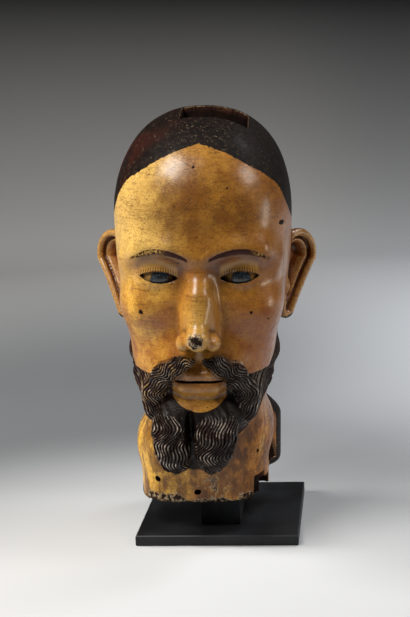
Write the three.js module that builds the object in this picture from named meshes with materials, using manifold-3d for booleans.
// A carved and painted wooden head of a bearded man, broken off at the neck, with two glass eyes,
// held up on a black metal plate by a block that enters the neck.
// Millimetres, +Z up, the face looks along -Y. The origin is the centre of the plate's underside.
import * as THREE from "three";
import { mergeVertices } from "three/addons/utils/BufferGeometryUtils.js";
import Module from "manifold-3d";

const wasm = await Module();
wasm.setup();

// Driving dimensions of the stand.
const PLATE = { width: 120, depth: 120, thick: 8, edge: 0.8 };
const POST = { width: 29, depth: 54, front: -37, x: 1.3, showing: 22, buried: 36, play: 0.4, gap: 0.3 };

// Driving dimensions of the head. Heights are above the floor, measured along the head's own axis.
const CROWN = 317; // top of the skull
const FACE_HEIGHT = 228; // chin to crown
const BREADTH = 130; // across the skull, without the ears
const NECK_CUT = PLATE.thick + POST.showing;
const LEAN = THREE.MathUtils.degToRad(2.2); // towards +X at the crown
const TURN = THREE.MathUtils.degToRad(3.5); // of the face towards +X
const NECK_X = -12.5; // where the head's axis meets the cut of the neck
const FORK_GAP = -6.5; // the gap between the beard's forks

// Places on the face, by the rule of equal thirds from chin to hairline.
const CHIN = CROWN - FACE_HEIGHT;
const THIRD = FACE_HEIGHT / 3.5;
const NOSE_BASE = CHIN + THIRD;
const BROW = CHIN + 2 * THIRD;
const EYE_LINE = CHIN + FACE_HEIGHT / 2;
const MOUTH = NOSE_BASE - THIRD / 3;

// The eyes: a blown glass dome behind two carved lids. back is the flat side of the dome.
const EYE = { x: 28, back: -60, radius: 15.5, lid: 2.2, width: 26.4, above: 3.6, below: 4.4, play: 0.35 };

// The mortise cut down into the crown, right of the middle.
const MORTISE = { x: 9, y: -13, width: 49, depth: 43, floor: 250 };

// The locks: how far apart the waves of hair lie, how deep they are cut, and how they swing.
const LOCK = { pitch: 8, depth: 1.5, swing: 5, wave: 45 };

// The sampling step of the carved form, and the triangles left once it is thinned out.
const STEP = 2.4;
const HEAD_TRIANGLES = 7500;

const clamp = (v, low, high) => Math.min(high, Math.max(low, v));
const mix = (a, b, t) => a + (b - a) * t;

function ramp(low, high, v) {
  const t = clamp((v - low) / (high - low), 0, 1);
  return t * t * (3 - 2 * t);
}

// Joins two distances with a fillet of about k, and cuts b out of a in the same way.
function join(a, b, k) {
  const h = Math.max(k - Math.abs(a - b), 0) / k;
  return Math.min(a, b) - (h * h * k) / 4;
}

const cut = (a, b, k) => -join(-a, b, k);

// A ball with three radii. An exponent above 2 makes its shoulders fuller.
function ball(x, y, z, [cx, cy, cz], [rx, ry, rz], power = 2) {
  const a = Math.abs(x - cx) / rx;
  const b = Math.abs(y - cy) / ry;
  const c = Math.abs(z - cz) / rz;
  const share = (a ** power + b ** power + c ** power) ** (1 / power);
  if (share < 1e-6) return -Math.min(rx, ry, rz);
  const lower = share ** (1 - power);
  const slope = lower * Math.hypot(a ** (power - 1) / rx, b ** (power - 1) / ry, c ** (power - 1) / rz);
  return (share - 1) / slope;
}

// A run of rods with round ends through knots [x, y, z, radius].
function strand(x, y, z, knots, k) {
  let d = Infinity;
  for (let i = 1; i < knots.length; i++) {
    const [ax, ay, az, ra] = knots[i - 1];
    const [bx, by, bz, rb] = knots[i];
    const [ux, uy, uz] = [bx - ax, by - ay, bz - az];
    const along = (x - ax) * ux + (y - ay) * uy + (z - az) * uz;
    const t = clamp(along / (ux * ux + uy * uy + uz * uz), 0, 1);
    const rod = Math.hypot(x - ax - t * ux, y - ay - t * uy, z - az - t * uz) - mix(ra, rb, t);
    d = i === 1 ? rod : join(d, rod, k);
  }
  return d;
}

// The skull, jaw and cheeks, without features. s is the distance from the mirror plane.
function skull(s, y, z) {
  let d = ball(s, y, z, [0, 8, CROWN - 78], [BREADTH / 2, 87, 78], 2.3);
  d = join(d, ball(s, y, z, [0, -31, CROWN - 72], [57, 54, 55], 2.1), 18);
  d = join(d, ball(s, y, z, [0, -13, EYE_LINE - 14], [58.5, 66, 64], 2.2), 20);
  d = join(d, ball(s, y, z, [0, -24, CHIN + 46], [49.5, 58, 46], 2.2), 20);
  d = join(d, ball(s, y, z, [36, -50, EYE_LINE - 24], [18, 22, 15]), 22);
  d = join(d, ball(s, y, z, [0, -54, MOUTH + 2], [31, 34, 28]), 16);
  d = join(d, ball(s, y, z, [0, -76, CHIN + 16], [18, 15, 14]), 12);
  return d;
}

function browsAndSockets(d, s, y, z) {
  const ridge = [
    [0, -79.5, BROW - 3, 5.2],
    [20, -79.5, BROW + 2, 4.8],
    [40, -68, BROW + 1.5, 4.4],
    [50, -54, BROW - 7, 4],
  ];
  d = join(d, strand(Math.hypot(s, 3), y, z, ridge, 10), 16);
  return cut(d, ball(s, y, z, [EYE.x + 1, -92.5, EYE_LINE + 2.5], [19, 16.5, 12.5]), 11);
}

function lids(d, s, y, z) {
  const r = EYE.radius + EYE.lid;
  return join(d, ball(s, y, z, [EYE.x, EYE.back, EYE_LINE], [r, r, r - 1.2]), 3.5);
}

function nose(d, s, y, z) {
  const ridge = [
    [0, -79.5, BROW - 12, 4.6],
    [0, -90, EYE_LINE - 12, 5],
    [0, -101, NOSE_BASE + 13, 6],
  ];
  let n = strand(s, y, z, ridge, 6);
  n = join(n, ball(s, y, z, [0, -82, NOSE_BASE + 22], [13.5, 15, 28]), 9);
  n = join(n, ball(s, y, z, [0, -102.5, NOSE_BASE + 9.5], [8, 8.2, 7.4]), 6);
  n = join(n, ball(s, y, z, [10, -94, NOSE_BASE + 6.5], [5.6, 8.4, 6.2]), 4);
  return join(d, n, 7);
}

function lips(d, s, y, z) {
  const upper = [
    [0, -89.5, MOUTH + 4.2, 3.4],
    [7, -89.2, MOUTH + 4.6, 3.5],
    [23, -80, MOUTH + 0.5, 1.6],
  ];
  const lower = [
    [0, -88.4, MOUTH - 4.8, 4.6],
    [10, -87, MOUTH - 4.4, 4.2],
    [22, -79.4, MOUTH - 1.2, 1.8],
  ];
  d = join(d, strand(s, y, z, upper, 4), 5);
  d = join(d, strand(s, y, z, lower, 4), 5);
  return cut(d, ball(s, y, z, [0, -98.5, NOSE_BASE - 8], [4, 4, 8]), 4);
}

// The neck, a swelling on each side of it, and the hair at the nape that stands proud of it and
// ends above the cut. Heights on it tilt a little: level is where the tilted height is the same.
function neck(x, y, z) {
  const s = Math.abs(x);
  const level = z - 0.12 * x;
  const rx = 48 * (1 - 0.22 * ramp(CHIN - 9, CHIN + 19, level));
  const front = mix(-51, -60, ramp(NECK_CUT, NECK_CUT + 50, z));
  const back = 44;
  const ry = (back - front) / 2;
  const side = ball(s, y, 0, [0, (front + back) / 2, 0], [rx, ry, 1e3], 3.2);
  const column = Math.max(side, z - (CHIN + 80), NECK_CUT - 10 - z);
  const swelling = ball(s, y, level, [42, -6, CHIN - 17], [9.5, 26, 18]);
  const width = 53 * (1 - 0.25 * ramp(CHIN - 18, CHIN + 3, level));
  const hair = ball(x, y, 0, [4.5, 26, 0], [width, 36, 1e3], 2.2);
  const nape = cut(Math.max(hair, z - (CHIN + 118)), z - NECK_CUT - 10, 5);
  return join(join(column, swelling, 8), nape, 2);
}

// One ear, as a leaf that stands out from the side of the head: u runs from the head to the rim,
// v up, and w out of the hollow side.
function ear(s, y, z) {
  const flare = THREE.MathUtils.degToRad(46);
  const outwards = s - 57.5;
  const backwards = y - 5 - 0.12 * (z - EYE_LINE + 16);
  const u = outwards * Math.sin(flare) + backwards * Math.cos(flare);
  const w = outwards * Math.cos(flare) - backwards * Math.sin(flare);
  const v = z - (NOSE_BASE + BROW) / 2;
  const [top, low] = [{ u: 15.5, v: 18, r: 19 }, { u: 3.5, v: -21, r: 7.5 }];
  const [du, dv] = [low.u - top.u, low.v - top.v];
  const t = clamp(((u - top.u) * du + (v - top.v) * dv) / (du * du + dv * dv), 0, 1);
  const outline = Math.hypot(u - top.u - t * du, v - top.v - t * dv) - mix(top.r, low.r, t ** 0.8);
  const inside = -outline;
  const upper = ramp(-14, -2, v) * ramp(4, 10, u);
  const sheet = 1.6 - 3.2 * ramp(2, 6.5, inside) + 2.6 * upper * ramp(4, 0, Math.abs(inside - 9))
    - 7 * ramp(7, 15, inside) * ramp(-26, -10, v);
  const back = -2 - 9 * ramp(0, 14, inside);
  let d = cut(outline, 0.2 + sheet - w, 2);
  d = cut(d, w - back, 2);
  d = join(d, Math.hypot(outline + 2.8, w - 2) - 2.8, 2);
  return join(d, ball(u, v, w, [2.5, -4, 1], [4, 6.5, 4.5]), 3);
}

// Waves cut into hair that hangs down: across is measured over the lock, along down its length.
function waves(across, along) {
  const swung = across - LOCK.swing * Math.sin((2 * Math.PI * along) / LOCK.wave);
  return LOCK.depth * (0.5 + 0.5 * Math.cos((2 * Math.PI * swung) / LOCK.pitch)) ** 2;
}

// The beard: hair along the jaw, two forks below the chin, and the moustache that runs into them.
function beard(d, x, y, z) {
  const s = Math.abs(x);
  const jaw = [
    [50.5, 3, CHIN + 64, 4.5],
    [44.5, -12, CHIN + 50, 10],
    [36.5, -33, CHIN + 37, 13],
    [24, -54, CHIN + 26, 17.5],
    [16, -62, CHIN + 20, 21],
  ];
  const rightFork = [
    [-20, -73, CHIN + 15, 13.5],
    [-20.5, -82, CHIN + 4, 13],
    [-19, -81.5, CHIN - 9, 12],
    [-18, -77, CHIN - 16.5, 11.5],
  ];
  const leftFork = [
    [11.5, -74, CHIN + 15, 16],
    [10.5, -84, CHIN + 4, 15.5],
    [9, -83, CHIN - 9, 13],
    [7.8, -77.5, CHIN - 17, 11.2],
  ];
  const moustache = [
    [5, -96, NOSE_BASE - 7, 3.4],
    [14, -92.5, NOSE_BASE - 10, 6.6],
    [25.5, -83.5, NOSE_BASE - 19, 8],
    [33, -76, NOSE_BASE - 33, 8.5],
    [32, -73, NOSE_BASE - 46, 9],
  ];
  let b = strand(s, y, z, jaw, 10);
  b = join(b, ball(s, y, z, [0, -72, CHIN + 15], [30, 20, 16]), 10);
  b = join(b, ball(s, y, z, [0, -40, CHIN + 14], [40, 38, 28]), 8);
  b += waves(0.57 * y - 0.82 * z - 0.2 * s, 0.82 * y + 0.57 * z) * ramp(26, 38, s);
  const forks = Math.min(strand(x, y, z, rightFork, 6), strand(x, y, z, leftFork, 6)) + waves(x, z);
  b = join(b, forks, 3);
  d = cut(join(d, b, 3), ball(x, y, z, [FORK_GAP, -97, CHIN + 8], [3.8, 16, 16]), 3);
  const reach = Math.hypot(s, z - CHIN - 29);
  const turn = Math.atan2(s, z - CHIN - 29);
  const lip = strand(s, y, z, moustache, 4) + 0.7 * waves((reach - 30) * 1.4 + 4, 40 * turn);
  return join(d, lip, 2);
}

// The carved head as one distance, negative inside the wood.
function headDistance(x, y, z) {
  const s = Math.abs(x);
  let d = skull(s, y, z);
  d = join(d, neck(x, y, z), 24);
  d = browsAndSockets(d, s, y, z);
  d = lids(d, s, y, z);
  d = nose(d, s, y, z);
  d = lips(d, s, y, z);
  d = join(d, ear(s, y, z), 3);
  return beard(d, x, y, z);
}

// The closed surface where a distance is zero: each cube of the grid is split into six tetrahedra.
function carve(distance, low, high, step) {
  const count = low.map((v, i) => Math.ceil((high[i] - v) / step) + 1);
  const [nx, ny, nz] = count;
  const at = (i, j, k) => i + nx * (j + ny * k);
  const values = new Float32Array(nx * ny * nz);
  const sample = (i, j, k) => distance(low[0] + i * step, low[1] + j * step, low[2] + k * step);
  const block = 5;
  const fill = (i0, j0, k0) => {
    const middle = sample(i0 + block / 2, j0 + block / 2, k0 + block / 2);
    const far = Math.abs(middle) > 1.6 * block * step;
    for (let k = k0; k < Math.min(nz, k0 + block); k++) {
      for (let j = j0; j < Math.min(ny, j0 + block); j++) {
        for (let i = i0; i < Math.min(nx, i0 + block); i++) {
          const v = far ? middle : sample(i, j, k);
          values[at(i, j, k)] = Math.abs(v) < 1e-3 * step ? 1e-3 * step : v;
        }
      }
    }
  };
  for (let k = 0; k < nz; k += block) {
    for (let j = 0; j < ny; j += block) {
      for (let i = 0; i < nx; i += block) fill(i, j, k);
    }
  }
  const corners = [[0, 0, 0], [1, 0, 0], [1, 1, 0], [0, 1, 0], [0, 0, 1], [1, 0, 1], [1, 1, 1], [0, 1, 1]];
  const tetrahedra = [[0, 5, 1, 6], [0, 1, 2, 6], [0, 2, 3, 6], [0, 3, 7, 6], [0, 7, 4, 6], [0, 4, 5, 6]];
  const total = values.length;
  const points = [];
  const faces = [];
  const known = new Map();
  const place = (index) => {
    const i = index % nx;
    const j = Math.floor(index / nx) % ny;
    const k = Math.floor(index / (nx * ny));
    return [low[0] + i * step, low[1] + j * step, low[2] + k * step];
  };
  const crossing = (a, b) => {
    const key = Math.min(a, b) * total + Math.max(a, b);
    if (known.has(key)) return known.get(key);
    const t = clamp(values[a] / (values[a] - values[b]), 0.06, 0.94);
    const p = place(a);
    const q = place(b);
    points.push(mix(p[0], q[0], t), mix(p[1], q[1], t), mix(p[2], q[2], t));
    known.set(key, points.length / 3 - 1);
    return points.length / 3 - 1;
  };
  for (let k = 0; k < nz - 1; k++) {
    for (let j = 0; j < ny - 1; j++) {
      for (let i = 0; i < nx - 1; i++) {
        const cube = corners.map(([a, b, c]) => at(i + a, j + b, k + c));
        const wet = cube.filter((n) => values[n] < 0).length;
        if (wet === 0 || wet === 8) continue;
        for (const tetra of tetrahedra) split(...tetra.map((n) => cube[n]));
      }
    }
  }
  function split(a, b, c, d) {
    const all = [a, b, c, d];
    const inner = all.filter((n) => values[n] < 0);
    const outer = all.filter((n) => values[n] >= 0);
    if (!inner.length || !outer.length) return;
    let loop;
    if (inner.length === 1) loop = outer.map((n) => crossing(inner[0], n));
    else if (outer.length === 1) loop = inner.map((n) => crossing(n, outer[0]));
    else {
      loop = [
        crossing(inner[0], outer[0]),
        crossing(inner[0], outer[1]),
        crossing(inner[1], outer[1]),
        crossing(inner[1], outer[0]),
      ];
    }
    const p = place(inner[0]);
    const q = loop.map((n) => [points[3 * n], points[3 * n + 1], points[3 * n + 2]]);
    const e = q[1].map((v, n) => v - q[0][n]);
    const f = q[2].map((v, n) => v - q[0][n]);
    const g = p.map((v, n) => v - q[0][n]);
    const volume = g[0] * (e[1] * f[2] - e[2] * f[1]) + g[1] * (e[2] * f[0] - e[0] * f[2])
      + g[2] * (e[0] * f[1] - e[1] * f[0]);
    if (volume > 0) loop.reverse();
    faces.push(loop[0], loop[1], loop[2]);
    if (loop.length === 4) faces.push(loop[0], loop[2], loop[3]);
  }
  settle(distance, points, step / 20);
  return { points: Float64Array.from(points), faces: Int32Array.from(faces) };
}

// Moves points that lie near the surface onto it.
function settle(distance, points, small) {
  for (let i = 0; i < points.length; i += 3) {
    const [x, y, z] = [points[i], points[i + 1], points[i + 2]];
    const d = distance(x, y, z);
    const slope = [
      (distance(x + small, y, z) - d) / small,
      (distance(x, y + small, z) - d) / small,
      (distance(x, y, z + small) - d) / small,
    ];
    const steep = Math.max(0.2, slope[0] ** 2 + slope[1] ** 2 + slope[2] ** 2);
    const shift = clamp(-d / steep, -4 * small, 4 * small);
    for (let n = 0; n < 3; n++) points[i + n] += shift * slope[n];
  }
}

// A binary heap of edges waiting to be merged, the cheapest first.
class Queue {
  constructor() {
    this.items = [];
  }
  push(item) {
    const items = this.items;
    let n = items.push(item) - 1;
    while (n > 0) {
      const up = (n - 1) >> 1;
      if (items[up].cost <= item.cost) break;
      items[n] = items[up];
      n = up;
    }
    items[n] = item;
  }
  pop() {
    const items = this.items;
    const first = items[0];
    const last = items.pop();
    if (!items.length) return first;
    let n = 0;
    for (;;) {
      let down = 2 * n + 1;
      if (down >= items.length) break;
      if (down + 1 < items.length && items[down + 1].cost < items[down].cost) down++;
      if (items[down].cost >= last.cost) break;
      items[n] = items[down];
      n = down;
    }
    items[n] = last;
    return first;
  }
}

// Thins a closed surface by merging the edges whose loss changes the form least. weight says how
// much a place on the surface matters.
function thin({ points, faces }, target, weight) {
  const total = points.length / 3;
  const quadric = new Float64Array(total * 10);
  const around = Array.from({ length: total }, () => []);
  const stamp = new Int32Array(total);
  const gone = new Uint8Array(faces.length / 3);
  const normalOf = (ax, ay, az, bx, by, bz, cx, cy, cz) => {
    const [ux, uy, uz, vx, vy, vz] = [bx - ax, by - ay, bz - az, cx - ax, cy - ay, cz - az];
    return [uy * vz - uz * vy, uz * vx - ux * vz, ux * vy - uy * vx];
  };
  const corner = (v) => [points[3 * v], points[3 * v + 1], points[3 * v + 2]];
  for (let f = 0; f < gone.length; f++) {
    const [a, b, c] = [faces[3 * f], faces[3 * f + 1], faces[3 * f + 2]];
    const [nx, ny, nz] = normalOf(...corner(a), ...corner(b), ...corner(c));
    const size = Math.hypot(nx, ny, nz) || 1e-12;
    const [px, py, pz] = [nx / size, ny / size, nz / size];
    const [x, y, z] = corner(a);
    const pw = -(px * x + py * y + pz * z);
    const w = (size / 2) * weight(x, y, z);
    const terms = [px * px, px * py, px * pz, px * pw, py * py, py * pz, py * pw, pz * pz, pz * pw, pw * pw];
    for (const v of [a, b, c]) {
      around[v].push(f);
      for (let i = 0; i < 10; i++) quadric[10 * v + i] += w * terms[i];
    }
  }
  const sum = new Float64Array(10);
  const costAt = (x, y, z) =>
    sum[0] * x * x + 2 * sum[1] * x * y + 2 * sum[2] * x * z + 2 * sum[3] * x + sum[4] * y * y
    + 2 * sum[5] * y * z + 2 * sum[6] * y + sum[7] * z * z + 2 * sum[8] * z + sum[9];
  const queue = new Queue();
  const propose = (a, b) => {
    for (let i = 0; i < 10; i++) sum[i] = quadric[10 * a + i] + quadric[10 * b + i];
    const p = corner(a);
    const q = corner(b);
    const middle = [(p[0] + q[0]) / 2, (p[1] + q[1]) / 2, (p[2] + q[2]) / 2];
    const reach = Math.hypot(p[0] - q[0], p[1] - q[1], p[2] - q[2]);
    const [m0, m1, m2, m4, m5, m7] = [sum[0], sum[1], sum[2], sum[4], sum[5], sum[7]];
    const det = m0 * (m4 * m7 - m5 * m5) - m1 * (m1 * m7 - m5 * m2) + m2 * (m1 * m5 - m4 * m2);
    const scale = (m0 + m4 + m7) / 3;
    let best = middle;
    if (Math.abs(det) > 1e-4 * scale ** 3) {
      const [r0, r1, r2] = [-sum[3], -sum[6], -sum[8]];
      const x = (r0 * (m4 * m7 - m5 * m5) - m1 * (r1 * m7 - m5 * r2) + m2 * (r1 * m5 - m4 * r2)) / det;
      const y = (m0 * (r1 * m7 - r2 * m5) - r0 * (m1 * m7 - m5 * m2) + m2 * (m1 * r2 - r1 * m2)) / det;
      const z = (m0 * (m4 * r2 - m5 * r1) - m1 * (m1 * r2 - r1 * m2) + r0 * (m1 * m5 - m4 * m2)) / det;
      if (Math.hypot(x - middle[0], y - middle[1], z - middle[2]) < reach) best = [x, y, z];
    }
    const cost = Math.max(0, costAt(...best)) + 2e-4 * reach ** 4 * weight(...middle) ** 0.5;
    queue.push({ cost, a, b, at: best, stampA: stamp[a], stampB: stamp[b] });
  };
  for (let f = 0; f < gone.length; f++) {
    for (let i = 0; i < 3; i++) {
      const a = faces[3 * f + i];
      const b = faces[3 * f + ((i + 1) % 3)];
      if (a < b) propose(a, b);
    }
  }
  const neighbours = (v) => {
    const found = new Set();
    for (const f of around[v]) {
      for (let i = 0; i < 3; i++) found.add(faces[3 * f + i]);
    }
    found.delete(v);
    return found;
  };
  const turnsOver = (v, other, at) => {
    for (const f of around[v]) {
      const ids = [faces[3 * f], faces[3 * f + 1], faces[3 * f + 2]];
      if (ids.includes(other)) continue;
      const before = normalOf(...corner(ids[0]), ...corner(ids[1]), ...corner(ids[2]));
      const moved = ids.map((n) => (n === v ? at : corner(n)));
      const after = normalOf(...moved[0], ...moved[1], ...moved[2]);
      const sizes = Math.hypot(...before) * Math.hypot(...after);
      const dot = before[0] * after[0] + before[1] * after[1] + before[2] * after[2];
      if (dot < 0.35 * sizes || Math.hypot(...after) < 1e-4) return true;
    }
    return false;
  };
  let left = gone.length;
  while (left > target && queue.items.length) {
    const { a, b, at, stampA, stampB } = queue.pop();
    if (stamp[a] !== stampA || stamp[b] !== stampB) continue;
    const near = neighbours(a);
    const shared = [...neighbours(b)].filter((n) => near.has(n));
    if (shared.length !== 2 || turnsOver(a, b, at) || turnsOver(b, a, at)) continue;
    for (const f of around[b]) {
      const ids = [faces[3 * f], faces[3 * f + 1], faces[3 * f + 2]];
      if (ids.includes(a)) {
        gone[f] = 1;
        left--;
        for (const n of ids) if (n !== b) around[n] = around[n].filter((other) => other !== f);
      } else {
        for (let i = 0; i < 3; i++) if (faces[3 * f + i] === b) faces[3 * f + i] = a;
        around[a].push(f);
      }
    }
    around[b] = [];
    stamp[a]++;
    stamp[b] = -1;
    [points[3 * a], points[3 * a + 1], points[3 * a + 2]] = at;
    for (let i = 0; i < 10; i++) quadric[10 * a + i] += quadric[10 * b + i];
    for (const n of neighbours(a)) propose(Math.min(a, n), Math.max(a, n));
  }
  const order = new Map();
  const kept = [];
  const index = [];
  for (let f = 0; f < gone.length; f++) {
    if (gone[f]) continue;
    for (let i = 0; i < 3; i++) {
      const v = faces[3 * f + i];
      if (!order.has(v)) {
        order.set(v, kept.length / 3);
        kept.push(...corner(v));
      }
      index.push(order.get(v));
    }
  }
  return { points: kept, faces: index };
}

// Between three.js geometry and the solids that are joined and cut.
function solidFrom(points, index) {
  const triVerts = [];
  for (let i = 0; i < index.length; i += 3) {
    const [a, b, c] = [index[i], index[i + 1], index[i + 2]];
    if (a !== b && b !== c && c !== a) triVerts.push(a, b, c);
  }
  const mesh = new wasm.Mesh({
    numProp: 3,
    vertProperties: Float32Array.from(points),
    triVerts: Uint32Array.from(triVerts),
  });
  return new wasm.Manifold(mesh);
}

function solid(geometry, ...moves) {
  const plain = new THREE.BufferGeometry();
  plain.setAttribute("position", geometry.attributes.position.clone());
  if (geometry.index) plain.setIndex(geometry.index.clone());
  for (const move of moves) plain.applyMatrix4(move);
  const merged = mergeVertices(plain, 1e-3);
  return solidFrom(merged.attributes.position.array, merged.index.array);
}

function geometryOf(manifold) {
  const mesh = manifold.getMesh();
  const positions = new Float32Array((mesh.vertProperties.length / mesh.numProp) * 3);
  for (let i = 0; i < positions.length / 3; i++) {
    for (let n = 0; n < 3; n++) positions[3 * i + n] = mesh.vertProperties[mesh.numProp * i + n];
  }
  const geometry = new THREE.BufferGeometry();
  geometry.setAttribute("position", new THREE.BufferAttribute(positions, 3));
  geometry.setIndex(new THREE.BufferAttribute(Uint32Array.from(mesh.triVerts), 1));
  geometry.computeVertexNormals();
  return geometry;
}

const move = (x, y, z) => new THREE.Matrix4().makeTranslation(x, y, z);
const stretch = (x, y, z) => new THREE.Matrix4().makeScale(x, y, z);

// From the floor's frame to the head's own: about the middle of the neck's cut.
const upright = new THREE.Matrix4()
  .multiply(move(0, 0, NECK_CUT))
  .multiply(new THREE.Matrix4().makeRotationZ(-TURN))
  .multiply(new THREE.Matrix4().makeRotationY(-LEAN))
  .multiply(move(-NECK_X, 0, -NECK_CUT));

function box(width, depth, height, x, y, z, ...moves) {
  return solid(new THREE.BoxGeometry(width, depth, height), move(x, y, z), ...moves);
}

// The glass dome, grown all round by extra. Its axis runs along -Y from the flat side.
function dome(extra) {
  const profile = [new THREE.Vector2(0, -extra)];
  const steps = 7;
  for (let i = 0; i <= steps; i++) {
    const turn = (i / steps) * (Math.PI / 2);
    profile.push(new THREE.Vector2(
      i === steps ? 0 : (EYE.radius + extra) * Math.cos(turn),
      i === 0 ? -extra : (EYE.radius + extra) * Math.sin(turn),
    ));
  }
  return new THREE.LatheGeometry(profile, 20).applyMatrix4(new THREE.Matrix4().makeRotationX(Math.PI / 2));
}

// The opening between the lids, an almond that points down a little towards the nose.
function almond(side) {
  const half = EYE.width / 2;
  const outline = new THREE.Shape();
  outline.moveTo(-half, -0.6);
  outline.bezierCurveTo(-half * 0.5, EYE.above + 0.9, half * 0.45, EYE.above + 1.3, half, 0.6);
  outline.bezierCurveTo(half * 0.5, -EYE.below - 1.2, -half * 0.45, -EYE.below - 1.4, -half, -0.6);
  const length = 30;
  const slot = new THREE.ExtrudeGeometry(outline, { depth: length, bevelEnabled: false, curveSegments: 7 });
  const place = new THREE.Matrix4().makeRotationX(Math.PI / 2);
  const turned = solid(slot, place, move(EYE.x, EYE.back - 4, EYE_LINE));
  return side < 0 ? turned.mirror([1, 0, 0]) : turned;
}

function hollows() {
  const parts = [];
  const { x, y, width, depth, floor } = MORTISE;
  parts.push(box(width, depth, CROWN + 20 - floor, x, y, (CROWN + 20 + floor) / 2));
  for (const side of [-1, 1]) {
    parts.push(solid(dome(EYE.play), move(side * EYE.x, EYE.back, EYE_LINE)));
    parts.push(almond(side));
  }
  return parts;
}

// The parting of the lips and the nostrils.
function openings() {
  const lens = new THREE.SphereGeometry(1, 20, 6);
  const parts = [solid(lens, stretch(17.5, 9, 1.1), move(0, -89, MOUTH - 0.2))];
  for (const side of [-1, 1]) {
    const nostril = new THREE.SphereGeometry(1, 10, 6);
    parts.push(solid(nostril, stretch(2.6, 5, 4.5), move(side * 6.2, -97, NOSE_BASE - 0.5)));
  }
  return parts;
}

// Old damage: two nail holes and a pin hole in the neck, a notch at its lower right edge, a gap
// before the hair at the nape, and a chip in the back rim of the mortise. Places are above the floor.
function damage() {
  const hole = (radius, deep, x, y, z, turn) => solid(
    new THREE.CylinderGeometry(radius, radius * 0.8, deep, 10),
    new THREE.Matrix4().makeRotationZ(turn),
    move(x, y, z),
    upright,
  );
  const notch = (width, deep, tall, x, y, z, turn, tilt) => solid(
    new THREE.BoxGeometry(width, deep, tall),
    new THREE.Matrix4().makeRotationX(tilt),
    new THREE.Matrix4().makeRotationZ(turn),
    move(x, y, z),
    upright,
  );
  return [
    hole(2.3, 24, -13.5, -48, 38.5, 0.05),
    hole(2.3, 24, -42, -49, 48.5, -0.5),
    hole(1.3, 16, 31.5, -44, 67.5, 0.6),
    notch(13, 18, 34, 33, -38, NECK_CUT, 0.75, 0.3),
    notch(12, 14, 14, 39, 5, 50, 0.3, 0.25),
    solid(
      new THREE.BoxGeometry(4, 9, 9),
      new THREE.Matrix4().makeRotationY(0.5),
      move(11.5, 10, CROWN),
      upright,
    ),
  ];
}

function head() {
  const skin = carve(headDistance, [-96, -118, 18], [96, 104, 324], STEP);
  const matters = (x, y, z) => {
    const front = ramp(-30, -60, y) * ramp(235, 215, z) * ramp(60, 70, z);
    const ears = ramp(56, 62, Math.abs(x)) * ramp(150, 160, z) * ramp(230, 222, z);
    return 1 + 7 * Math.max(front, ears);
  };
  const thinned = thin(skin, HEAD_TRIANGLES, matters);
  let body = solidFrom(thinned.points, thinned.faces);
  const ground = box(400, 400, 100, 0, 0, NECK_CUT - 50, upright);
  const { width, depth, front, x, showing, buried, play, gap } = POST;
  const top = PLATE.thick + showing + buried + gap;
  const socket = box(
    width + 2 * play,
    depth + 2 * play,
    2 * buried,
    x,
    front + depth / 2,
    top - buried,
    upright,
  );
  for (const part of [ground, socket, ...hollows(), ...openings(), ...damage()]) {
    body = body.subtract(part);
  }
  return body;
}

const paint = {
  wood: new THREE.MeshStandardMaterial({ color: 0xb9802f, roughness: 0.4 }),
  glass: new THREE.MeshStandardMaterial({ color: 0x4c5552, roughness: 0.1 }),
  metal: new THREE.MeshStandardMaterial({ color: 0x15161a, roughness: 0.35, metalness: 0.4 }),
};

function piece(name, geometry, material) {
  const mesh = new THREE.Mesh(geometry, material);
  mesh.name = name;
  return mesh;
}

const object = new THREE.Group();
object.name = "carved_head_on_stand";

const leaning = new THREE.Group();
leaning.position.set(NECK_X, 0, NECK_CUT);
leaning.rotation.set(0, LEAN, TURN);
const carved = piece("head", geometryOf(head()), paint.wood);
carved.position.z = -NECK_CUT;
leaning.add(carved);
for (const [name, side] of [["left_glass_eye", 1], ["right_glass_eye", -1]]) {
  const eye = piece(name, geometryOf(solid(dome(0))), paint.glass);
  eye.position.set(side * EYE.x, EYE.back, EYE_LINE - NECK_CUT);
  leaning.add(eye);
}
object.add(leaning);

const bevel = PLATE.edge;
const sheet = new THREE.Shape();
sheet.moveTo(-PLATE.width / 2 + bevel, -PLATE.depth / 2 + bevel);
sheet.lineTo(PLATE.width / 2 - bevel, -PLATE.depth / 2 + bevel);
sheet.lineTo(PLATE.width / 2 - bevel, PLATE.depth / 2 - bevel);
sheet.lineTo(-PLATE.width / 2 + bevel, PLATE.depth / 2 - bevel);
sheet.closePath();
const plate = new THREE.ExtrudeGeometry(sheet, {
  depth: PLATE.thick - 2 * bevel,
  bevelSize: bevel,
  bevelThickness: bevel,
  bevelSegments: 1,
});
plate.translate(0, 0, bevel);
object.add(piece("stand_plate", geometryOf(solid(plate)), paint.metal));

const tall = POST.showing + POST.buried - POST.gap;
const post = new THREE.BoxGeometry(POST.width, POST.depth, tall);
post.translate(POST.x, POST.front + POST.depth / 2, PLATE.thick + POST.gap + tall / 2);
object.add(piece("stand_post", geometryOf(solid(post)), paint.metal));

export default object;
